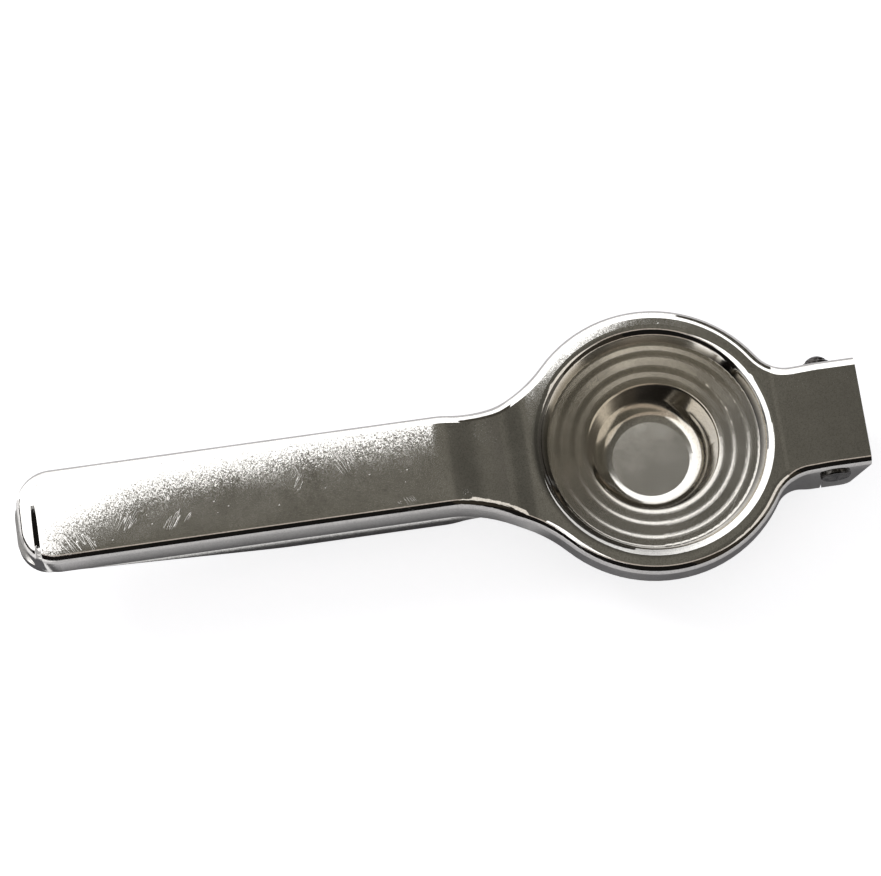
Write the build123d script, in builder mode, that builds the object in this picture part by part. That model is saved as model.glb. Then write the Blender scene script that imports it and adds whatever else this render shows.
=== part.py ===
from build123d import *
import os

# Hinged lemon squeezer: two pressed sheet-metal arms on one rivet.
#
# The press arm lies on top. Its dome pushes half a lemon down into the perforated cup
# of the strainer arm, which nests in the press arm from below. All sizes are in mm.
#
# Frame: origin at the centre of the flat underside of the strainer cup, +Z up along
# the cup axis, +X towards the hinge, Y across the arms.

os.makedirs("parts", exist_ok=True)

# ---------------------------------------------------------------- driving dimensions

sheet = 1.2                      # both arms are pressed from sheet of this thickness
edge_radius = 2.5                # outside radius where a plate turns into its walls

# Press arm, plan
ring_radius = 34.2
flange_width = 6.05              # ring edge to the mouth of the dome's hollow back
handle_length = 124.3            # ring edge to the closed end of the handle
handle_width = 24.0
hinge_length = 18.1              # ring edge to the open end of the hinge plate
hinge_width = 28.0
neck_blend = 35.0                # plan radius between ring and handle
handle_corner = 9.0

# Press arm, side view
handle_rise = 7.35               # handle plate above the ring flange
hinge_rise = 1.7                 # hinge plate above the ring flange
neck_setback = 1.6               # ring edge to where the neck starts to climb
neck_ramp = 16.0                 # length over which the neck climbs to the handle
hinge_ramp = 10.4
ramp_bend = 9.0
hinge_bend = 12.0
ring_wall = 8.7
handle_wall = 10.0               # depth of the handle channel
wall_bend = 8.0                  # side-view radius where the walls' lower edge changes depth
ear_depth = 17.7                 # hinge plate to the ears' lower edge
ear_length = 10.7                # length of the ears' lower edge
ear_slant = 4.6                  # how far the ears' front edge leans back
ear_ramp = 8.0                   # length over which the ring wall deepens into the ears
ear_bend = 3.0
relief_length = 5.0              # slit in each ear's lower edge
relief_width = 0.4
relief_setback = 6.9             # slit back from the front end of the ears' lower edge

# Dome of the press arm: a shoulder, three level ledges a step apart, then the wall
rim_land = 1.1                   # flat flange between the dome's lip and the hinge ramp
lip_radius = 2.6
shoulder_run = 1.65
shoulder_drop = 4.85
ledge_bend = 1.5                 # at the steps between the ledges
crease_bend = 0.8                # between shoulder and outer ledge
outer_ledge = 2.1                # width, as for the next two
middle_ledge = 2.7
inner_ledge = 3.1
step_run = 1.0
step_drop = 0.5
dome_wall_bend = 2.0             # between inner ledge and wall
dome_run = 3.0                   # inward run of the wall
dome_depth = 17.5
dome_floor_bend = 5.0

# Strainer arm
rind_gap = 6.8                   # between the two ring flanges, closed
juice_gap = 5.3                  # between dome and strainer floor, closed
rim_step = 0.55                  # strainer cup's rim inside the dome's
strainer_lip_radius = 1.6
strainer_waist_run = 2.0
strainer_waist_depth = 8.5
strainer_waist_bend = 8.0
strainer_floor_run = 7.6
strainer_floor_bend = 5.0
strainer_ring_wall = 5.2
strainer_handle_drop = 8.0       # handle plate below the ring plate
strainer_hinge_drop = 6.3        # hinge plate below the ring plate
strainer_hinge_ramp = 5.0
strainer_hinge_bend = 1.6
strainer_hinge_blend = 1.5       # plan radius between ring and hinge plate
strainer_rim_land = 3.0
strainer_end_wall = 5.5
slope_length = 63.5              # closed end of the press handle to where the strainer's slopes up
slope_bend = 60.0
handle_overhang = 1.1            # strainer handle past the press handle
nesting = 2.2                    # strainer handle walls inside the press handle
nesting_ramp = 10.0
ear_round = 4.1                  # reach of the strainer ears about the pin
ear_nose = 0.95                  # front corner radius of those ears, as a share of their reach
pin_cover = 1.4                  # strainer hinge plate past the pin axis
juice_hole_diameter = 4.0
juice_hole_rings = ((6, 0.36), (12, 0.695))  # (number of holes, share of the floor's radius)

# Rivet
pin_diameter = 4.0
pin_drop = 6.8                   # pin axis below the top of the hinge plate
pin_setback = 8.7                # pin axis back from the end of the hinge plate
head_diameter = 7.6
head_height = 0.9
head_edge = 0.3
washer_diameter = 7.4
washer_height = 1.1
peen_diameter = 5.2
peen_height = 1.8
peen_edge = 0.7                  # straight side of the hammered end, below its crown

# Clearances
pin_clearance = 0.05
ring_clearance = 0.8
handle_clearance = 0.5
ear_clearance = 0.3
stop_gap = 0.3                   # between the two handle ends, closed
washer_space = 2.8               # from the washer's edge to the bend into the ring

# ---------------------------------------------------------------- derived places

beyond = 5.0                     # how far cutting shapes run past what they cut
half_span = ring_radius + beyond

rim_radius = ring_radius - flange_width
handle_reach = ring_radius + handle_length
hinge_reach = ring_radius + hinge_length

flange_top = sheet + juice_gap + sheet + dome_depth
handle_top = flange_top + handle_rise
hinge_top = flange_top + hinge_rise
press_handle_low = handle_top - handle_wall
press_ring_low = flange_top - ring_wall
ear_low = hinge_top - ear_depth
neck_foot = ring_radius + neck_setback

strainer_plate_top = flange_top - sheet - rind_gap
strainer_plate_low = strainer_plate_top - sheet
strainer_handle_low = strainer_plate_low - strainer_handle_drop
strainer_hinge_low = strainer_plate_low - strainer_hinge_drop
strainer_end_top = press_handle_low - stop_gap
strainer_end_low = strainer_end_top - strainer_end_wall
strainer_reach = handle_reach + handle_overhang

pin_x = hinge_reach - pin_setback
pin_z = hinge_top - pin_drop
pin_radius = pin_diameter / 2
pin_hole_radius = pin_radius + pin_clearance
ear_face = hinge_width / 2

# Plan radius between ring and hinge plate that ends clear of the washer
blend_end = pin_x - washer_diameter / 2 - washer_space
hinge_blend = (blend_end ** 2 - ring_radius ** 2 + ear_face ** 2) / (2 * (ring_radius - ear_face))

strainer_rim_radius = rim_radius - rim_step
strainer_waist_radius = strainer_rim_radius - strainer_waist_run
strainer_floor_radius = strainer_waist_radius - strainer_floor_run


# ---------------------------------------------------------------- shared shapes

def arm_plan(ring, neck_half, hinge_half, handle_end, hinge_end, neck, hinge, corner):
    """Plan outline of an arm: handle, ring and hinge plate, blended together."""
    with BuildSketch(Plane.XY) as plan:
        with Locations((-handle_end / 2, 0)):
            Rectangle(handle_end, 2 * neck_half)
        end_corners = plan.vertices().group_by(Axis.X)[0]
        fillet(end_corners, corner)
        Circle(ring)
        with Locations((hinge_end / 2, 0)):
            Rectangle(hinge_end, 2 * hinge_half)
        for side, half, blend in ((-1, neck_half, neck), (1, hinge_half, hinge)):
            crotch = plan.vertices().filter_by(
                lambda v: 0 < v.X * side < ring and abs(abs(v.Y) - half) < 0.001
            )
            fillet(crotch, blend)
    return plan.sketch


def side_region(line, radii, level):
    """Side-view region between a bent line and a level line above or below it."""
    start_x, start_z = line[0]
    end_x = max(x for x, z in line) + beyond
    with BuildSketch(Plane.XZ) as region:
        with BuildLine():
            FilletPolyline(*line, radius=radii)
            Polyline(line[-1], (end_x, line[-1][1]), (end_x, level), (start_x, level), (start_x, start_z))
        make_face()
    return region.sketch


def formed_block(plan, plate, plate_radii, radius, low, high):
    """Solid under a bent plate, with upright walls and rounded top edges."""
    profile = side_region(plate, plate_radii, low)
    with BuildPart() as block:
        with BuildSketch(Plane.XY.offset(low)):
            add(plan)
        extrude(amount=high - low)
        with BuildSketch(Plane.XZ):
            add(profile)
        extrude(amount=half_span, both=True, mode=Mode.INTERSECT)
        walls = block.faces().filter_by(
            lambda f: abs(f.normal_at().Z) < 0.01 and f.normal_at().X < 0.999
        )
        plates = block.faces().filter_by(lambda f: f.normal_at().Z > 0.3)
        wall_edges = walls.edges()
        bends = plates.edges().filter_by(lambda e: any(e.is_same(w) for w in wall_edges))
        fillet(bends, radius)
    return block.part


def formed_shell(sizes, plate, plate_radii, edge, edge_radii):
    """Sheet arm, plate up: rounded channel walls, trimmed below a side-view edge line."""
    ring, neck_half, hinge_half, handle_end, hinge_end, neck, hinge, corner = sizes
    low = min(z for x, z in edge) - beyond
    high = max(z for x, z in plate) + beyond
    outer = formed_block(arm_plan(*sizes), plate, plate_radii, edge_radius, low, high)
    inner_plan = arm_plan(
        ring - sheet, neck_half - sheet, hinge_half - sheet, handle_end - sheet,
        hinge_end + beyond, neck + sheet, hinge + sheet, corner - sheet,
    )
    inner_plate = [(x, z - sheet) for x, z in plate]
    inner = formed_block(inner_plan, inner_plate, plate_radii, edge_radius - sheet, low, high)
    trim = side_region(edge, edge_radii, low - beyond)
    with BuildPart() as shell:
        add(outer)
        add(inner, mode=Mode.SUBTRACT)
        with BuildSketch(Plane.XZ):
            add(trim)
        extrude(amount=half_span, both=True, mode=Mode.SUBTRACT)
    return shell.part


def cup(line, radii):
    """Pressed cup: a bent line thickened downwards by the sheet and turned about Z."""
    with BuildPart() as pressed:
        with BuildSketch(Plane.XZ):
            with BuildLine():
                FilletPolyline(*line, radius=radii)
                offset(amount=sheet, side=Side.LEFT, closed=True)
            make_face()
        revolve(axis=Axis.Z)
    return pressed.part


def upside_down(line):
    return [(x, -z) for x, z in line]


# ---------------------------------------------------------------- press arm

dome_seat = rim_radius + lip_radius
hinge_foot = dome_seat + rim_land
ear_front = hinge_reach - ear_slant
ear_back = ear_front - ear_length

press_sizes = (
    ring_radius, handle_width / 2, hinge_width / 2, handle_reach, hinge_reach,
    neck_blend, hinge_blend, handle_corner,
)
press_plate = [
    (-handle_reach - beyond, handle_top),
    (-neck_foot - neck_ramp, handle_top),
    (-neck_foot, flange_top),
    (hinge_foot, flange_top),
    (hinge_foot + hinge_ramp, hinge_top),
    (hinge_reach + beyond, hinge_top),
]
press_plate_radii = [ramp_bend, ramp_bend, hinge_bend, hinge_bend]
press_edge = [
    (-handle_reach - beyond, press_handle_low),
    (-neck_foot - neck_ramp, press_handle_low),
    (-neck_foot, press_ring_low),
    (ear_back - ear_ramp, press_ring_low),
    (ear_back, ear_low),
    (ear_front, ear_low),
    (hinge_reach, hinge_top - edge_radius),
    (hinge_reach + beyond, hinge_top - edge_radius),
]
press_edge_radii = [wall_bend, wall_bend, ear_bend, ear_bend, ear_bend, 0]

press_shell = formed_shell(press_sizes, press_plate, press_plate_radii, press_edge, press_edge_radii)

shoulder_foot = rim_radius - shoulder_run
outer_edge = shoulder_foot - outer_ledge
middle_start = outer_edge - step_run
middle_edge = middle_start - middle_ledge
inner_start = middle_edge - step_run
inner_edge = inner_start - inner_ledge
outer_z = flange_top - shoulder_drop
middle_z = outer_z - step_drop
inner_z = middle_z - step_drop
dome = cup(
    [
        (dome_seat, flange_top),
        (rim_radius, flange_top),
        (shoulder_foot, outer_z),
        (outer_edge, outer_z),
        (middle_start, middle_z),
        (middle_edge, middle_z),
        (inner_start, inner_z),
        (inner_edge, inner_z),
        (inner_edge - dome_run, flange_top - dome_depth),
        (0, flange_top - dome_depth),
    ],
    [lip_radius, crease_bend] + [ledge_bend] * 4 + [dome_wall_bend, dome_floor_bend],
)

with BuildPart() as press_arm:
    add(press_shell)
    with BuildSketch(Plane.XY.offset(flange_top + sheet)):
        Circle(dome_seat)
    extrude(amount=-3 * sheet, mode=Mode.SUBTRACT)
    add(dome)
    with BuildSketch(Plane.XZ):
        with Locations((pin_x, pin_z)):
            Circle(pin_hole_radius)
        with Locations((ear_front - relief_setback, ear_low)):
            Rectangle(relief_width, 2 * relief_length)
    extrude(amount=half_span, both=True, mode=Mode.SUBTRACT)

press_arm.part.label = "press_arm"
export_step(press_arm.part, "parts/press_arm.step")


# ---------------------------------------------------------------- strainer arm

strainer_sizes = (
    ring_radius - sheet - ring_clearance,
    handle_width / 2 - sheet - handle_clearance,
    hinge_width / 2 - sheet - ear_clearance,
    strainer_reach,
    pin_x + ear_round,
    neck_blend + sheet + ring_clearance,
    strainer_hinge_blend,
    handle_corner - sheet - handle_clearance,
)
strainer_foot = strainer_rim_radius + strainer_rim_land
strainer_plate = [
    (-strainer_reach - beyond, strainer_end_low),
    (slope_length - handle_reach, strainer_handle_low),
    (-neck_foot - neck_ramp, strainer_handle_low),
    (-neck_foot, strainer_plate_low),
    (strainer_foot, strainer_plate_low),
    (strainer_foot + strainer_hinge_ramp, strainer_hinge_low),
    (hinge_reach + beyond, strainer_hinge_low),
]
strainer_plate_radii = [slope_bend, ramp_bend, ramp_bend, strainer_hinge_bend, strainer_hinge_bend]

nest_start = -handle_reach + handle_corner
nest_top = press_handle_low + nesting
strainer_ring_top = strainer_plate_low + strainer_ring_wall
strainer_ear_top = pin_z + ear_round
strainer_edge = [
    (-strainer_reach - beyond, strainer_end_top),
    (nest_start, strainer_end_top),
    (nest_start + nesting_ramp, nest_top),
    (-neck_foot - neck_ramp, nest_top),
    (-neck_foot - neck_ramp / 2, strainer_ring_top),
    (strainer_foot, strainer_ring_top),
    (pin_x - ear_round, strainer_ear_top),
    (pin_x + ear_round, strainer_ear_top),
    (pin_x + ear_round, pin_z - pin_radius / 2),
    (pin_x + pin_cover, strainer_hinge_low),
    (pin_x + pin_cover, strainer_hinge_low - beyond),
]
strainer_edge_radii = [
    nesting_ramp, nesting_ramp, wall_bend / 2, wall_bend / 2, ear_bend, ear_bend,
    ear_nose * ear_round, ear_bend, 0,
]

strainer_shell = formed_shell(
    strainer_sizes,
    upside_down(strainer_plate),
    strainer_plate_radii,
    upside_down(strainer_edge),
    strainer_edge_radii,
)

strainer_seat = strainer_rim_radius + strainer_lip_radius
strainer_cup = cup(
    [
        (strainer_seat, strainer_plate_top),
        (strainer_rim_radius, strainer_plate_top),
        (strainer_waist_radius, strainer_plate_top - strainer_waist_depth),
        (strainer_floor_radius, sheet),
        (0, sheet),
    ],
    [strainer_lip_radius, strainer_waist_bend, strainer_floor_bend],
)

with BuildPart() as strainer_arm:
    add(strainer_shell)
    mirror(about=Plane.XY, mode=Mode.REPLACE)
    with BuildSketch(Plane.XY.offset(strainer_plate_top + sheet)):
        Circle(strainer_seat)
    extrude(amount=-3 * sheet, mode=Mode.SUBTRACT)
    add(strainer_cup)
    with BuildSketch(Plane.XY.offset(-sheet)):
        for count, pitch_share in juice_hole_rings:
            with PolarLocations(pitch_share * strainer_floor_radius, count):
                Circle(juice_hole_diameter / 2)
    extrude(amount=3 * sheet, mode=Mode.SUBTRACT)
    with BuildSketch(Plane.XZ):
        with Locations((pin_x, pin_z)):
            Circle(pin_hole_radius)
    extrude(amount=half_span, both=True, mode=Mode.SUBTRACT)

strainer_arm.part.label = "strainer_arm"
export_step(strainer_arm.part, "parts/strainer_arm.step")


# ---------------------------------------------------------------- rivet and washer

head_radius = head_diameter / 2
peen_radius = peen_diameter / 2
washer_face = ear_face + washer_height
crown = peen_height - peen_edge
crown_radius = (peen_radius ** 2 + crown ** 2) / (2 * crown)

pin_plane = Plane(origin=(pin_x, 0, pin_z), x_dir=(0, 1, 0), z_dir=(1, 0, 0))
with BuildPart() as hinge_rivet:
    with BuildSketch(pin_plane):
        with BuildLine():
            Polyline(
                (washer_face + peen_height, 0),
                (-ear_face - head_height, 0),
                (-ear_face - head_height, head_radius - head_edge),
                (-ear_face - head_height + head_edge, head_radius),
                (-ear_face, head_radius),
                (-ear_face, pin_radius),
                (washer_face, pin_radius),
                (washer_face, peen_radius),
                (washer_face + peen_edge, peen_radius),
            )
            RadiusArc((washer_face + peen_edge, peen_radius), (washer_face + peen_height, 0), crown_radius)
        make_face()
    revolve(axis=Axis((pin_x, 0, pin_z), (0, 1, 0)))

hinge_rivet.part.label = "hinge_rivet"
export_step(hinge_rivet.part, "parts/hinge_rivet.step")

far_ear_plane = Plane(origin=(pin_x, ear_face, pin_z), x_dir=(1, 0, 0), z_dir=(0, 1, 0))
with BuildPart() as rivet_washer:
    with BuildSketch(far_ear_plane):
        Circle(washer_diameter / 2)
        Circle(pin_hole_radius, mode=Mode.SUBTRACT)
    extrude(amount=washer_height)
    outer_rim = rivet_washer.edges().filter_by(GeomType.CIRCLE).group_by(Axis.Y)[-1]
    chamfer(outer_rim.sort_by(SortBy.RADIUS)[-1], head_edge)

rivet_washer.part.label = "rivet_washer"
export_step(rivet_washer.part, "parts/rivet_washer.step")
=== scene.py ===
import math

import bpy
from mathutils import Matrix, Vector


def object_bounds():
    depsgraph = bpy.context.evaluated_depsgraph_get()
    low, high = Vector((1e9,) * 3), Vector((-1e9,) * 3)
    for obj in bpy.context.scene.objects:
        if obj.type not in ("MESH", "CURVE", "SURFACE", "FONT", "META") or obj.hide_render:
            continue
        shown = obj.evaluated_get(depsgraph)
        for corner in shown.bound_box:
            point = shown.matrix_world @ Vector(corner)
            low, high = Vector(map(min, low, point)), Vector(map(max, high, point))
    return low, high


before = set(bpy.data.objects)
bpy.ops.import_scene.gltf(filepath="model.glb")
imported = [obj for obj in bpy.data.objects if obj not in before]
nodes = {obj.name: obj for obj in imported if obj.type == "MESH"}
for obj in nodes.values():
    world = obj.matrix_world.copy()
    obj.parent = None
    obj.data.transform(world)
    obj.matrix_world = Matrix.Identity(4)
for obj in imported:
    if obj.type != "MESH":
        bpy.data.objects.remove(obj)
cad_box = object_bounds()

# Lengths are metres in the CAD frame: +X from the handles to the hinge, +Z up along the cup's axis.
# Where no comment says otherwise, a pair is the start and the end of a smooth step (Graph.between).


# ---------------------------------------------------------------- camera

IMAGE_WIDTH = 881                # pixels
PIXELS_PER_METRE = 4030.0        # at the press arm's ring flange
AZIMUTH = math.radians(-8.3)
ELEVATION = math.radians(73.0)
DISTANCE = 1.0
FLANGE = Vector((0.0, 0.0, 0.0252))
CENTRE_RIGHT = -0.0531           # image centre from the ring's centre, in the image plane
CENTRE_UP = 0.0002
SENSOR = 36.0                    # mm
FARTHEST_SEEN = 20.0

to_camera = Vector((
    math.sin(AZIMUTH) * math.cos(ELEVATION),
    -math.cos(AZIMUTH) * math.cos(ELEVATION),
    math.sin(ELEVATION),
))
right = Vector((math.cos(AZIMUTH), math.sin(AZIMUTH), 0.0))
up = to_camera.cross(right)
target = FLANGE + CENTRE_RIGHT * right + CENTRE_UP * up

camera_data = bpy.data.cameras.new("camera")
camera_data.sensor_width = SENSOR
camera_data.lens = PIXELS_PER_METRE * DISTANCE * SENSOR / IMAGE_WIDTH
camera_data.clip_end = FARTHEST_SEEN
camera = bpy.data.objects.new("camera", camera_data)
bpy.context.scene.collection.objects.link(camera)
camera.matrix_world = Matrix.Translation(target + DISTANCE * to_camera) @ Matrix((
    (right.x, up.x, to_camera.x, 0.0),
    (right.y, up.y, to_camera.y, 0.0),
    (right.z, up.z, to_camera.z, 0.0),
    (0.0, 0.0, 0.0, 1.0),
))
bpy.context.scene.camera = camera


# ---------------------------------------------------------------- node graphs

WHITE = (1.0, 1.0, 1.0)
BLACK = (0.0, 0.0, 0.0)
LEVEL = (1.0, 1.0, 0.0)          # a place times this keeps its X and Y alone


class Graph:
    """Node tree of a new material, with a short call for each kind of node that is used here."""

    def __init__(self, name):
        self.material = bpy.data.materials.new(name)
        self.material.use_nodes = True
        self.tree = self.material.node_tree
        self.tree.nodes.clear()
        self.output = self.tree.nodes.new("ShaderNodeOutputMaterial")

    def feed(self, socket, value):
        """Link the socket to another one, or set it to a constant."""
        if isinstance(value, bpy.types.NodeSocket):
            self.tree.links.new(value, socket)
        else:
            socket.default_value = value

    def node(self, kind, settings=None, **inputs):
        """New node. Each further keyword names one of its input sockets, with _ for a space."""
        node = self.tree.nodes.new(kind)
        for name, value in (settings or {}).items():
            setattr(node, name, value)
        for name, value in inputs.items():
            self.feed(node.inputs[name.replace("_", " ")], value)
        return node

    def math(self, operation, *values):
        node = self.node("ShaderNodeMath", {"operation": operation})
        for socket, value in zip(node.inputs, values):
            self.feed(socket, value)
        return node.outputs["Value"]

    def product(self, value, *factors):
        for factor in factors:
            value = self.math("MULTIPLY", value, factor)
        return value

    def scaled_sum(self, value, factor, plus):
        """value * factor + plus"""
        return self.math("MULTIPLY_ADD", value, factor, plus)

    def between(self, value, start, end):
        """0 up to start, 1 from end on, and smooth between them."""
        node = self.node(
            "ShaderNodeMapRange", {"interpolation_type": "SMOOTHSTEP"},
            Value=value, From_Min=start, From_Max=end,
        )
        return node.outputs["Result"]

    def band(self, value, one_edge, other_edge):
        """1 inside a band and 0 outside it. Each edge is a pair for between."""
        return self.product(self.between(value, *one_edge), self.between(value, *other_edge))

    def ramp(self, factor, stops):
        """Greys that run through stops of position and brightness."""
        node = self.node("ShaderNodeValToRGB", Fac=factor)
        elements = node.color_ramp.elements
        while len(elements) < len(stops):
            elements.new(0.5)
        for element, (position, brightness) in zip(elements, stops):
            element.position = position
            element.color = (brightness, brightness, brightness, 1.0)
        return node.outputs["Color"]

    def noise(self, vector, scale, detail=0.0, **inputs):
        node = self.node("ShaderNodeTexNoise", Vector=vector, Scale=scale, Detail=detail, **inputs)
        return node.outputs["Fac"]

    def vector(self, operation, *vectors, **inputs):
        """Vector maths. A length and a dot product come back as a number."""
        node = self.node("ShaderNodeVectorMath", {"operation": operation}, **inputs)
        for socket, vector in zip(node.inputs, vectors):
            self.feed(socket, vector)
        return node.outputs["Value" if operation in ("LENGTH", "DOT_PRODUCT") else "Vector"]

    def parts(self, vector):
        """X, Y and Z of a vector."""
        return tuple(self.node("ShaderNodeSeparateXYZ", Vector=vector).outputs)

    def joined(self, x=0.0, y=0.0, z=0.0):
        return self.node("ShaderNodeCombineXYZ", X=x, Y=y, Z=z).outputs["Vector"]

    def turned(self, normal, start, end):
        """The normal, turned from one space to another."""
        settings = {"vector_type": "NORMAL", "convert_from": start, "convert_to": end}
        return self.node("ShaderNodeVectorTransform", settings, Vector=normal).outputs["Vector"]

    def mix(self, kind, first, second, factor=1.0, blend="MIX"):
        settings = {"data_type": kind, "blend_type": blend}
        return self.node("ShaderNodeMix", settings, Factor=factor, A=first, B=second).outputs["Result"]

    def finished(self, shader):
        """The material, with this shader on its surface."""
        self.tree.links.new(shader, self.output.inputs["Surface"])
        return self.material


class Metal(Graph):
    """Graph of a metal, which knows where on the tool each point of the surface lies."""

    def __init__(self, name):
        super().__init__(name)
        self.place = self.node("ShaderNodeTexCoord").outputs["Object"]
        self.along, self.across, _ = self.parts(self.place)
        self.radius = self.vector("LENGTH", self.vector("MULTIPLY", self.place, LEVEL))
        self.normal = self.node("ShaderNodeNewGeometry").outputs["Normal"]
        self.facing = self.turned(self.normal, "WORLD", "OBJECT")
        _, self.facing_across, self.facing_up = self.parts(self.facing)

    def towards(self, direction, reach):
        """0 on one side of the cup and 1 on the side that the direction points to."""
        return self.between(self.vector("DOT_PRODUCT", self.place, direction), *reach)


# ---------------------------------------------------------------- shading normal of the press arm

TOWARDS_FAR = (-0.5, 0.87, 0.0)
TOWARDS_FAR_LEFT = (-0.67, 0.74, 0.0)
TOWARDS_NEAR_LEFT = (-0.75, -0.66, 0.0)

# along the arm
NECK_START = (-0.056, -0.040)
NECK_END = (-0.0295, -0.038)
NECK_REACH = (-0.0293, -0.0305)
HINGE_REACH = (0.0312, 0.0322)
NECK_SLOPE = 0.46                # the neck's fall towards the ring, as a tangent

# parts of the true normal
UPWARD = (0.8, 0.9)              # its height, on the flats
LEDGE_UPWARD = (0.6, 0.75)       # its height, on the dome's ledges
FAR_EDGE_ACROSS = (0.15, 0.35)   # its lean to the far side, on the rounded far edge
FAR_EDGE_UPWARD = (0.15, 0.3)

# from the cup's axis
LEDGES_OUTER = (0.0274, 0.0264)
LEDGES_INNER = (0.0158, 0.0168)
LEDGE_EASE = 3.4                 # height added to the normal, which levels it
LEDGE_DISH = (-0.005, -0.022)    # along the arm, where the ledges lean towards the hinge
LEDGE_DISH_SLOPE = 0.55
WALL_INNER = (0.0118, 0.0128)
WALL_OUTER = (0.0172, 0.0164)
WALL_FLARE = 1.3                 # height added to the normal
SHOULDER_INNER = (0.0262, 0.0268)
SHOULDER_OUTER = (0.0281, 0.0275)
SHOULDER_FLARE = 1.9
FLARE_REACH = (-0.002, 0.014)    # towards the flared side

# the crease where the handle's tip rolls over
TIP_START = (-0.1534, -0.1539)
TIP_END = (-0.1552, -0.1547)
TIP_NEAR_HALF = (0.009, -0.005)  # across the arm
TIP_SLOPE = 1.5


def neck_and_hinge_normal(metal):
    """Off the ring, the neck's slope is spread and the hinge plate reads level."""
    far_edge = metal.between(metal.facing_across, *FAR_EDGE_ACROSS)
    neck = metal.band(metal.along, NECK_START, NECK_END)
    slope = metal.product(neck, NECK_SLOPE, metal.math("SUBTRACT", 1.0, far_edge))
    soft = metal.vector("NORMALIZE", metal.joined(slope, metal.facing_across, metal.facing_up))
    off_ring = metal.math(
        "MAXIMUM", metal.between(metal.along, *NECK_REACH), metal.between(metal.along, *HINGE_REACH),
    )
    upward = metal.math(
        "MAXIMUM", metal.between(metal.facing_up, *UPWARD),
        metal.product(far_edge, metal.between(metal.facing_up, *FAR_EDGE_UPWARD)),
    )
    return metal.mix("VECTOR", metal.facing, soft, metal.product(off_ring, upward))


def ledge_lean(metal):
    """The steps of the dome's ledges are softened, and the left ones lean towards the hinge."""
    ledges = metal.product(
        metal.band(metal.radius, LEDGES_OUTER, LEDGES_INNER), metal.between(metal.facing_up, *LEDGE_UPWARD),
    )
    dished = metal.product(ledges, metal.between(metal.along, *LEDGE_DISH), LEDGE_DISH_SLOPE)
    return metal.joined(x=dished, z=metal.product(ledges, LEDGE_EASE))


def tip_lean(metal):
    """The near half of the handle's tip rolls over in a thin crease."""
    crease = metal.product(
        metal.band(metal.along, TIP_START, TIP_END), metal.between(metal.across, *TIP_NEAR_HALF), -TIP_SLOPE,
    )
    return metal.joined(x=crease)


def dome_flare(metal):
    """The far wall and the far shoulder of the dome open outwards."""
    wall = metal.product(
        metal.band(metal.radius, WALL_INNER, WALL_OUTER),
        metal.towards(TOWARDS_FAR_LEFT, FLARE_REACH), WALL_FLARE,
    )
    shoulder = metal.product(
        metal.band(metal.radius, SHOULDER_INNER, SHOULDER_OUTER), metal.towards(TOWARDS_FAR, FLARE_REACH),
    )
    return metal.joined(z=metal.scaled_sum(shoulder, SHOULDER_FLARE, wall))


def eased_normal(metal):
    """Normal of the press arm: neck, hinge plate, dome and tip flow softly, as pressed sheet does."""
    normal = neck_and_hinge_normal(metal)
    for lean in (ledge_lean(metal), tip_lean(metal), dome_flare(metal)):
        normal = metal.vector("ADD", normal, lean)
    return metal.turned(metal.vector("NORMALIZE", normal), "OBJECT", "WORLD")


# ---------------------------------------------------------------- plated metal

# scales of the textures, per metre
PATCH_SCALE = 90.0
PIT_SCALE = 420.0
PLATING_FACETS = 4400.0
HAMMERED_FACETS = 1300.0

PATCH_DETAIL = 4.0
PATCH_ROUGHNESS = 0.6
NOISE_MIDDLE = 0.5
FACET_MIDDLE = (0.5, 0.5, 0.5)   # average of the facets' random colours
PIT_DEPTH = 0.5                  # share of a scratch's depth
SCRATCH_DEPTH = 0.000004
SCRATCH_SETS = ((62.0, 70.0), (-58.0, 95.0))     # degrees of turn, and scale of the patches they lie in
SCRATCH_STRETCH = (160.0, 1500.0, 1500.0)        # scale along and across a scratch, per metre
GRAIN_REACH = (-0.03, -0.05)     # along the arm, from the ring to the handle's full grain
GRAIN_AT_RING = 0.45             # share of the handle's grain

# stops of the ramps, each a position and a brightness
PIT_STOPS = ((0.05, 1.0), (0.1, 0.0))
SCRATCH_STOPS = ((0.0, 1.0), (0.02, 0.0))
SCRATCH_PATCHES = ((0.72, 0.0), (0.75, 1.0))
PATCH_SHADES = ((0.35, 0.88), (0.65, 1.0))
FLECK_SHADES = ((0.0, 0.8), (0.6, 1.0))

# from the cup's axis
DRAWN_REACH = (0.0282, 0.0267)   # where the sheet turns down
DEEP_REACH = (0.0105, 0.0125)    # out from the deep floor
SHOULDER_RIM = (0.0235, 0.0245)
LIP_INNER = (0.0262, 0.0268)
LIP_OUTER = (0.0312, 0.0296)

LIP_REACH = (0.006, 0.024)       # towards the near left
WARM_REACH = (-0.016, 0.012)     # towards the far side
SHOULDER_RIGHT = (0.008, 0.02)   # along the arm
END_SHADE_REACH = (-0.1570, -0.1582)   # along the arm, at the strainer handle's end, where shade is painted
UPRIGHT = (0.75, 0.5)            # height of the true normal, on a wall

DEEP_CUP_SHADE = 0.3                 # share of the painted cup shade that the deep floor has
NEAR_WARMTH = 0.25               # share of the painted brown reflection tint that the near half has
WARM_TINT = (1.0, 0.93, 0.8)     # what the painted brown reflection leaves of the plain tint

# painted changes of shade, as shares of it
CUP_SHADE_CHANGE = -0.32
SHOULDER_CHANGE = -0.5
SHOULDER_RIGHT_CHANGE = -0.4     # on top of the shoulder's
LIP_CHANGE = -0.55

PATCH_RANGE = (0.3, 0.7)         # lowest and highest noise of the patches, evenly spread over the next
ROUGHNESS_SPREAD = (0.8, 1.3)    # lowest and highest share of the roughness
DRAWN_ROUGHNESS = 0.1            # added where the sheet is drawn
SCRATCH_ROUGHNESS = 0.2          # added on a scratch


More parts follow.
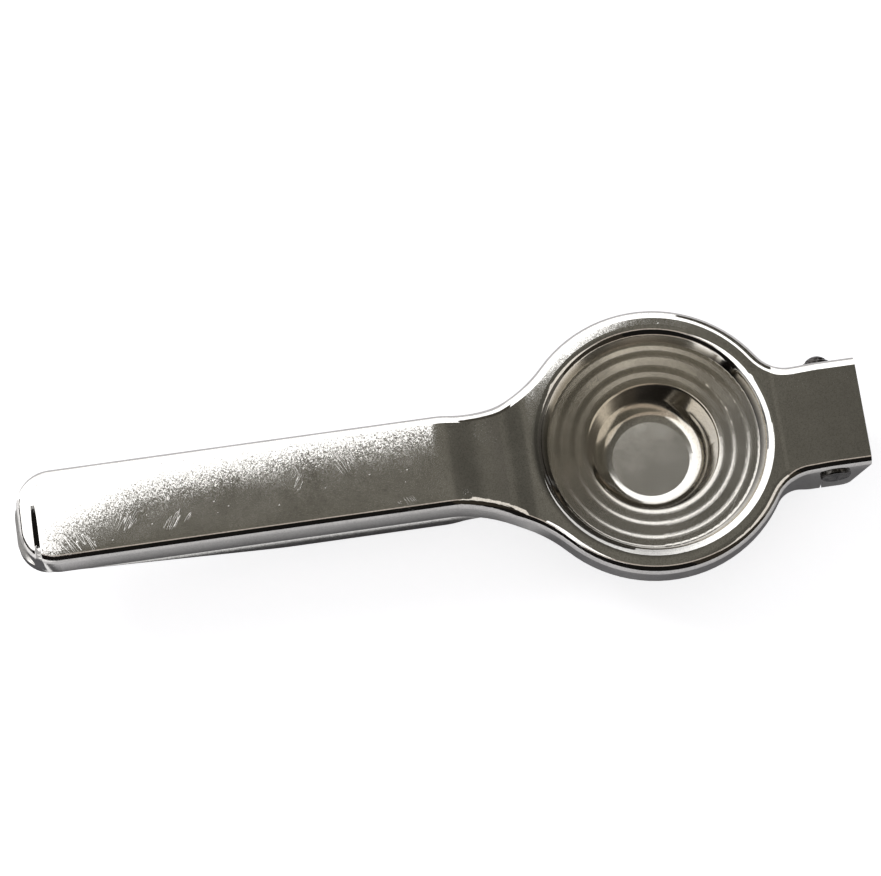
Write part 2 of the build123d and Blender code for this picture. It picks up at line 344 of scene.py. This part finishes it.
def scratch_set(metal, turn, patch_scale):
    """Few hair scratches that run one way: 1 on a scratch, 0 elsewhere."""
    turned = metal.node("ShaderNodeMapping", Vector=metal.place, Rotation=(0.0, 0.0, math.radians(turn)))
    drawn_out = metal.vector("MULTIPLY", turned.outputs["Vector"], SCRATCH_STRETCH)
    lines = metal.noise(drawn_out, scale=1.0)
    near_line = metal.math("ABSOLUTE", metal.math("SUBTRACT", lines, NOISE_MIDDLE))
    where = metal.ramp(metal.noise(metal.place, patch_scale), SCRATCH_PATCHES)
    return metal.product(metal.ramp(near_line, SCRATCH_STOPS), where)


def worn_roughness(metal, roughness, patches, drawn, scratches):
    low, high = ROUGHNESS_SPREAD
    rough = metal.node(
        "ShaderNodeMapRange", Value=patches, From_Min=PATCH_RANGE[0], From_Max=PATCH_RANGE[1],
        To_Min=roughness * low, To_Max=roughness * high,
    )
    dull = metal.scaled_sum(drawn, DRAWN_ROUGHNESS, rough.outputs["Result"])
    return metal.scaled_sum(scratches, SCRATCH_ROUGHNESS, dull)


def grained_normal(metal, normal, grain_tilt, facets, scratches):
    """The normal, tilted facet by facet, with the scratches and pinholes pressed in."""
    tilt = metal.scaled_sum(
        metal.between(metal.along, *GRAIN_REACH),
        grain_tilt * (1.0 - GRAIN_AT_RING), grain_tilt * GRAIN_AT_RING,
    )
    facet = metal.vector("SUBTRACT", facets, FACET_MIDDLE)
    normal = metal.vector("ADD", normal, metal.vector("SCALE", facet, Scale=tilt))
    pits = metal.node("ShaderNodeTexVoronoi", Vector=metal.place, Scale=PIT_SCALE)
    pit = metal.ramp(pits.outputs["Distance"], PIT_STOPS)
    bump = metal.node(
        "ShaderNodeBump", {"invert": True},
        Height=metal.math("ADD", scratches, metal.product(pit, PIT_DEPTH)),
        Strength=1.0, Distance=SCRATCH_DEPTH, Normal=metal.vector("NORMALIZE", normal),
    )
    return bump.outputs["Normal"]


def changed(metal, shade, where, change):
    """The shade, changed by a share of itself where the mask is 1."""
    return metal.scaled_sum(metal.product(where, shade), change, shade)


def place_shade(metal, patches, facets, drawn, painted_cup_shade, painted_end_shade):
    """Brightness of the metal: patches and flecks at random, and painted shade by its place on the tool."""
    fleck = metal.node("ShaderNodeSeparateColor", Color=facets).outputs["Red"]
    shade = metal.product(metal.ramp(patches, PATCH_SHADES), metal.ramp(fleck, FLECK_SHADES))
    # painted shade: the drawn cup darker, its deep floor less so
    shade = changed(metal, shade, painted_cup_shade, CUP_SHADE_CHANGE)

    # painted shade on the cup's shoulder wall, darker still on the right
    shoulder = metal.product(
        drawn, metal.between(metal.radius, *SHOULDER_RIM), metal.between(metal.facing_up, *UPRIGHT),
    )
    on_right = metal.between(metal.along, *SHOULDER_RIGHT)
    shoulder_change = metal.scaled_sum(on_right, SHOULDER_RIGHT_CHANGE, SHOULDER_CHANGE)
    shade = changed(metal, shade, shoulder, shoulder_change)

    # painted shade on the near-left arc of the lip
    lip = metal.product(
        metal.band(metal.radius, LIP_INNER, LIP_OUTER), metal.towards(TOWARDS_NEAR_LEFT, LIP_REACH),
    )
    shade = changed(metal, shade, lip, LIP_CHANGE)
    # painted shade at the strainer handle's end
    return changed(metal, shade, metal.between(metal.along, *END_SHADE_REACH), -painted_end_shade)


def painted_colour(metal, tint, painted_cup_shade, shade):
    """The tint, browner in the drawn cup by a painted brown reflection, most on its far half, times the
    shade.
    """
    # painted reflection: the drawn cup browner on its far half
    far_half = metal.towards(TOWARDS_FAR, WARM_REACH)
    warmth = metal.product(painted_cup_shade, metal.scaled_sum(far_half, 1.0 - NEAR_WARMTH, NEAR_WARMTH))
    warm_tint = [plain * left for plain, left in zip(tint, WARM_TINT)]
    warm = metal.mix("RGBA", (*tint, 1.0), (*warm_tint, 1.0), warmth)
    return metal.mix("RGBA", warm, shade, blend="MULTIPLY")


def plated_metal(name, tint, roughness, grain_tilt, eased=False, facet_scale=PLATING_FACETS, painted_end_shade=0.0):
    """Plated pressed sheet: fine facets, pinholes, hair scratches, dull patches, a duller drawn cup, and
    painted shade and reflection in places.
    """
    metal = Metal(name)
    patches = metal.noise(metal.place, PATCH_SCALE, PATCH_DETAIL, Roughness=PATCH_ROUGHNESS)
    facets = metal.node("ShaderNodeTexVoronoi", Vector=metal.place, Scale=facet_scale).outputs["Color"]
    scratches = metal.math("MAXIMUM", *(scratch_set(metal, *scratch) for scratch in SCRATCH_SETS))

    # the drawn cup and dome come out of the die duller than the flats; the cup also gets painted shade, less
    # on its deep floor
    drawn = metal.between(metal.radius, *DRAWN_REACH)
    off_floor = metal.between(metal.radius, *DEEP_REACH)
    painted_cup_shade = metal.product(metal.scaled_sum(off_floor, 1.0 - DEEP_CUP_SHADE, DEEP_CUP_SHADE), drawn)

    normal = eased_normal(metal) if eased else metal.normal
    shade = place_shade(metal, patches, facets, drawn, painted_cup_shade, painted_end_shade)
    shader = metal.node(
        "ShaderNodeBsdfPrincipled", Metallic=1.0,
        Base_Color=painted_colour(metal, tint, painted_cup_shade, shade),
        Roughness=worn_roughness(metal, roughness, patches, drawn, scratches),
        Normal=grained_normal(metal, normal, grain_tilt, facets, scratches),
    )
    return metal.finished(shader.outputs["BSDF"])


press_metal = plated_metal(
    "press_plating", tint=(0.68, 0.665, 0.64), roughness=0.045, grain_tilt=0.0088, eased=True,
)
# the strainer's handle end gets painted shade
strainer_metal = plated_metal(
    "strainer_plating", tint=(0.66, 0.645, 0.62), roughness=0.07, grain_tilt=0.013, painted_end_shade=0.8,
)
rivet_metal = plated_metal(
    "rivet_steel", tint=(0.07, 0.066, 0.062), roughness=0.2, grain_tilt=0.9, facet_scale=HAMMERED_FACETS,
)
for node, material in (
    ("press_arm", press_metal),
    ("strainer_arm", strainer_metal),
    ("hinge_rivet", rivet_metal),
    ("rivet_washer", rivet_metal),
):
    mesh = nodes[node].data
    mesh.materials.clear()
    mesh.materials.append(material)


# ---------------------------------------------------------------- floor

PAPER = (0.8, 0.79, 0.82)
FLOOR_HALF = 6.0
FLOOR_Z = cad_box[0][2] - 0.0002
FLOOR_TO_CAMERA = 0.72           # extra brightness of the paper to the camera alone
FLOOR_TO_METAL = 0.8             # extra brightness of the floor in polished metal alone

# rough outline of the tool on the floor
RING_RADIUS = 0.0342
HANDLE_HALF = 0.012
HINGE_HALF = 0.014
HINGE_SIDE = (0.0, 0.01)         # along the arm, from the handle's width to the hinge's
BESIDE_RING = (0.03, 0.02)       # along the arm, either way, where only the ring's outline counts
RING_ONLY = 1.0                  # distance that takes the handle's outline out of play there

# distance from that outline
SHADOW_END = (0.0055, 0.0095)
STRIP_INNER = (0.0022, 0.003)
STRIP_OUTER = (0.0048, 0.004)

BESIDE_HANDLE = (-0.042, -0.055)     # along the arm
LEFT_OF_TOOL = (-0.167, -0.18)       # along the arm
FAR_FLOOR = (0.25, 0.9)              # from the cup's axis

# shares of FLOOR_TO_METAL, on top of the far floor's
CLEAR_FLOOR_GLOW = 0.3
STRIP_GLOW = 1.2
LEFT_GLOW = 0.6

# how far the paper near the tool darkens in the metal
CONTACT_DIM = 0.35
HANDLE_CONTACT_DIM = 0.4         # on top of that, beside the handle


def flat_shape(name, points):
    """Flat piece of the stage with the given corners."""
    mesh = bpy.data.meshes.new(name)
    mesh.from_pydata(points, [], [tuple(range(len(points)))])
    shape = bpy.data.objects.new(name, mesh)
    bpy.context.scene.collection.objects.link(shape)
    return shape


def distance_from_tool(paper, along, across, from_axis):
    """Distance on the floor from the rough outline of the tool."""
    from_ring = paper.math("SUBTRACT", from_axis, RING_RADIUS)
    half_width = paper.scaled_sum(paper.between(along, *HINGE_SIDE), HINGE_HALF - HANDLE_HALF, HANDLE_HALF)
    from_handle = paper.math("SUBTRACT", paper.math("ABSOLUTE", across), half_width)
    beside_ring = paper.between(paper.math("ABSOLUTE", along), *BESIDE_RING)
    off_handle = paper.scaled_sum(beside_ring, RING_ONLY, from_handle)
    return paper.math("MINIMUM", from_ring, off_handle)


def floor_paper():
    """White paper, brighter to the camera, with bands and shades that only polished metal sees."""
    paper = Graph("floor_paper")
    ray = paper.node("ShaderNodeLightPath").outputs
    place = paper.node("ShaderNodeNewGeometry").outputs["Position"]
    along, across, _ = paper.parts(place)
    from_axis = paper.vector("LENGTH", paper.vector("MULTIPLY", place, LEVEL))
    from_tool = distance_from_tool(paper, along, across, from_axis)

    beside_handle = paper.between(along, *BESIDE_HANDLE)
    outside_shadow = paper.between(from_tool, *SHADOW_END)
    light_strip = paper.product(paper.band(from_tool, STRIP_INNER, STRIP_OUTER), beside_handle)
    mirrored = paper.between(from_axis, *FAR_FLOOR)
    for glow, share in (
        (outside_shadow, CLEAR_FLOOR_GLOW),
        (light_strip, STRIP_GLOW),
        (paper.between(along, *LEFT_OF_TOOL), LEFT_GLOW),
    ):
        mirrored = paper.scaled_sum(glow, share, mirrored)
    seen = paper.math("MAXIMUM", ray["Is Camera Ray"], ray["Is Transmission Ray"])
    lift = paper.scaled_sum(
        paper.product(ray["Is Glossy Ray"], mirrored), FLOOR_TO_METAL, paper.product(seen, FLOOR_TO_CAMERA),
    )

    in_contact = paper.math("SUBTRACT", 1.0, outside_shadow)
    contact_dim = paper.scaled_sum(beside_handle, HANDLE_CONTACT_DIM, CONTACT_DIM)
    dim = paper.product(in_contact, ray["Is Glossy Ray"], contact_dim)
    colour = paper.mix("RGBA", (*PAPER, 1.0), (*BLACK, 1.0), dim)
    diffuse = paper.node("ShaderNodeBsdfDiffuse", Color=colour)
    glow = paper.node("ShaderNodeEmission", Color=(*WHITE, 1.0), Strength=lift)
    both = paper.node("ShaderNodeAddShader")
    paper.feed(both.inputs[0], diffuse.outputs["BSDF"])
    paper.feed(both.inputs[1], glow.outputs["Emission"])
    return paper.finished(both.outputs["Shader"])


floor = flat_shape("floor", [
    (-FLOOR_HALF, -FLOOR_HALF, FLOOR_Z), (FLOOR_HALF, -FLOOR_HALF, FLOOR_Z),
    (FLOOR_HALF, FLOOR_HALF, FLOOR_Z), (-FLOOR_HALF, FLOOR_HALF, FLOOR_Z),
])
floor.data.materials.append(floor_paper())


# ---------------------------------------------------------------- world

WORLD_STRENGTH = 0.4

world = bpy.data.worlds.new("studio")
world.use_nodes = True
bpy.context.scene.world = world
background = world.node_tree.nodes["Background"]
background.inputs["Color"].default_value = (*WHITE, 1.0)
background.inputs["Strength"].default_value = WORLD_STRENGTH


# ---------------------------------------------------------------- studio cards

TAN = (0.19, 0.18, 0.152)
BROWN = (0.08, 0.073, 0.06)
DARK = (0.012, 0.011, 0.01)
DARK_BROWN = (0.04, 0.034, 0.026)
GREY = (0.13, 0.12, 0.105)
PEACH = (0.7, 0.62, 0.55)
CREAM = (0.9, 0.85, 0.78)

CEILING = 0.632                  # above the cup's base
STEP = 0.006                     # between overhead cards
WHITE_LEVEL = 4                  # steps
FRONT = -0.5
BACK = 0.9
SIDE = 0.9
LEFT = -1.2
OUTER = 1.5                      # half the width of the white around the studio
FRONT_CORNER = 0.15              # where the two cards of the front meet
FAR_RIGHT_START = 0.3
LEFT_BACK = 0.33
LEFT_HEIGHT = 0.28
RIGHT_BACK = 0.45
CEILING_LEFT = -0.19

# corners of the overhead cards, in X and Y
# the ceiling's far edge runs from left to right; white lies beyond it
CEILING_EDGE = (
    (-0.185, 0.169), (-0.146, 0.183), (-0.084, 0.188), (-0.043, 0.19), (-0.022, 0.192),
    (0.0, 0.201), (0.06, 0.235), (0.133, 0.245), (SIDE, RIGHT_BACK),
)
CEILING_CARD = ((SIDE, FRONT), (CEILING_LEFT, FRONT), *CEILING_EDGE)
# stops of position along X and brightness
CEILING_SHADES = ((0.07, 1.0), (0.14, 0.68), (0.28, 0.6), (0.5, 0.6), (0.75, 0.85))
# corners of the others
STRIP = ((-0.5, -0.46), (0.32, -0.46), (0.32, -0.3), (-0.5, -0.3))
WINDOW = ((0.33, FRONT), (SIDE, FRONT), (SIDE, -0.02), (0.36, -0.02))
ABOVE_RIGHT = ((0.42, 0.36), (OUTER, 0.36), (OUTER, BACK), (FAR_RIGHT_START, BACK))
WHITE_ABOVE = ((-OUTER, FRONT), (OUTER, FRONT), (OUTER, BACK), (-OUTER, BACK))

WINDOW_STRENGTH = 1.3
WHITE_ABOVE_STRENGTH = 2.4
WHITE_FAR_STRENGTH = 2.0


def overhead(corners, level):
    """Corners at the ceiling's height, raised by that many steps."""
    return [(x, y, CEILING + level * STEP) for x, y in corners]


def upright(start, end, height):
    return [(*start, 0.0), (*end, 0.0), (*end, height), (*start, height)]


def card(name, points, colour, strength=1.0, shades=None):
    """Studio card that only polished surfaces see. Its shades change the colour along X."""
    surface = Graph(name + "_surface")
    if shades:
        along, _, _ = surface.parts(surface.node("ShaderNodeNewGeometry").outputs["Position"])
        shown = surface.mix("RGBA", (*colour, 1.0), surface.ramp(along, shades), blend="MULTIPLY")
    else:
        shown = (*colour, 1.0)
    shader = surface.node("ShaderNodeEmission", Color=shown, Strength=strength)
    shape = flat_shape(name, points)
    shape.data.materials.append(surface.finished(shader.outputs["Emission"]))
    shape.visible_camera = False
    shape.visible_diffuse = False
    shape.visible_shadow = False
    shape.visible_transmission = False


card("ceiling", overhead(CEILING_CARD, level=0), TAN, shades=CEILING_SHADES)
card("strip", overhead(STRIP, level=-2), PEACH)
card("window", overhead(WINDOW, level=-2), CREAM, WINDOW_STRENGTH)
card("above_right", overhead(ABOVE_RIGHT, level=3), BROWN)
card("far_right", upright((FAR_RIGHT_START, BACK - STEP), (OUTER, BACK - STEP), CEILING), BROWN)
card("white_above", overhead(WHITE_ABOVE, WHITE_LEVEL), WHITE, WHITE_ABOVE_STRENGTH)
card(
    "white_far", upright((-OUTER, BACK), (OUTER, BACK), CEILING + WHITE_LEVEL * STEP),
    WHITE, WHITE_FAR_STRENGTH,
)
card("room_front", upright((LEFT, FRONT), (FRONT_CORNER, FRONT), CEILING), DARK)
card("room_front_right", upright((FRONT_CORNER, FRONT), (SIDE, FRONT), CEILING), DARK_BROWN)
card("room_left", upright((LEFT, FRONT), (LEFT, LEFT_BACK), LEFT_HEIGHT), DARK)
card("room_right", upright((SIDE, FRONT), (SIDE, RIGHT_BACK), CEILING), GREY)


# ---------------------------------------------------------------- key light

KEY_PLACE = Vector((-0.9, 0.9, 1.0))
KEY_SIZE = 0.8
KEY_POWER = 10.0                 # watts

key_data = bpy.data.lights.new("key", "AREA")
key_data.shape = "RECTANGLE"
key_data.size = KEY_SIZE
key_data.size_y = KEY_SIZE
key_data.energy = KEY_POWER
key = bpy.data.objects.new("key", key_data)
bpy.context.scene.collection.objects.link(key)
key_turn = KEY_PLACE.to_track_quat("Z", "Y")     # shines towards the cup
key.matrix_world = Matrix.Translation(KEY_PLACE) @ key_turn.to_matrix().to_4x4()
key.visible_glossy = False

bpy.context.scene.view_settings.view_transform = "Standard"
